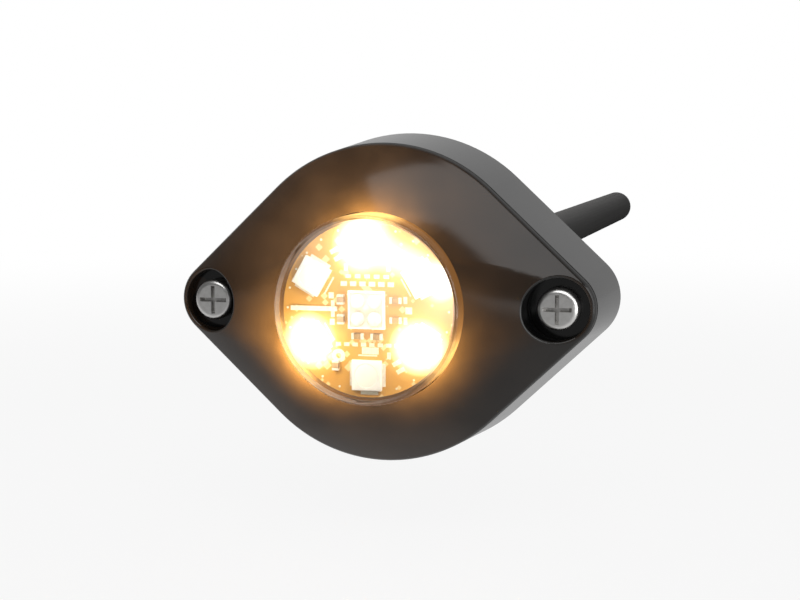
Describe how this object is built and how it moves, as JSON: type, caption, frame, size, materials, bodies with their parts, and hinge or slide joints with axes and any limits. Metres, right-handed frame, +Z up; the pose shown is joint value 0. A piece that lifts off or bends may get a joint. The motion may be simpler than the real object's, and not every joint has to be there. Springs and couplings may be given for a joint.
{
  "type": "warning light",
  "caption": "Surface-mount warning light with a black lozenge housing, domed face, clear round lens over an LED board, two mounting screws and a cable from the back.",
  "frame": {"origin": "centre of the flat mounting face at the back, midway between the two mounting screws", "axes": "+X to the right along the line of the screws, +Y out of the back along the cable, +Z up; the lens faces -Y"},
  "size_m": [0.0608, 0.2407, 0.0456],
  "materials": {
    "housing": "satin moulded",
    "lens": "clear polished",
    "seal": "soft black",
    "heat_sink": "turned",
    "thermal_pad": "soft grey",
    "led_board": "solder mask",
    "led_body": "moulded white",
    "amber_gel": "lit emitter",
    "white_gel": "unlit emitter",
    "centre_body": "moulded",
    "centre_domes": "clear silicone",
    "resistor": "black top",
    "capacitor": "tan ceramic",
    "link": "tinned",
    "driver_board": "green solder mask",
    "chip": "moulded black",
    "coil": "ferrite grey",
    "driver_capacitor": "can",
    "spacer": "turned",
    "screw": "zinc plated",
    "wire": "wire insulation",
    "cover": "satin moulded",
    "gland": "moulded rubber",
    "cable": "extruded jacket"
  },
  "bodies": {
    "root": {"housing": "housing", "lens": "lens", "lens_seal": "seal", "heat_sink": "heat_sink", "thermal_pad": "thermal_pad", "led_board": "led_board", "amber_gels": "amber_gel", "white_gels": "white_gel", "centre_led_body": "centre_body", "centre_led_domes": "centre_domes", "board_resistors": "resistor", "board_capacitors": "capacitor", "board_link": "link", "driver_board": "driver_board", "controller_chip": "chip", "coil": "coil", "driver_capacitors": "driver_capacitor", "spacers": "spacer", "stack_screws": "screw", "feed_wires": "wire", "back_cover": "cover", "cover_gasket": "seal", "cover_screws": "screw", "cable_gland": "gland", "cable_cores": "wire", "cable": "cable", "mounting_screw_left": "screw", "mounting_screw_right": "screw", "amber_led_top": "led_body", "amber_led_lower_left": "led_body", "amber_led_lower_right": "led_body", "white_led_bottom": "led_body", "white_led_upper_left": "led_body", "white_led_upper_right": "led_body"}
  },
  "joints": []
}
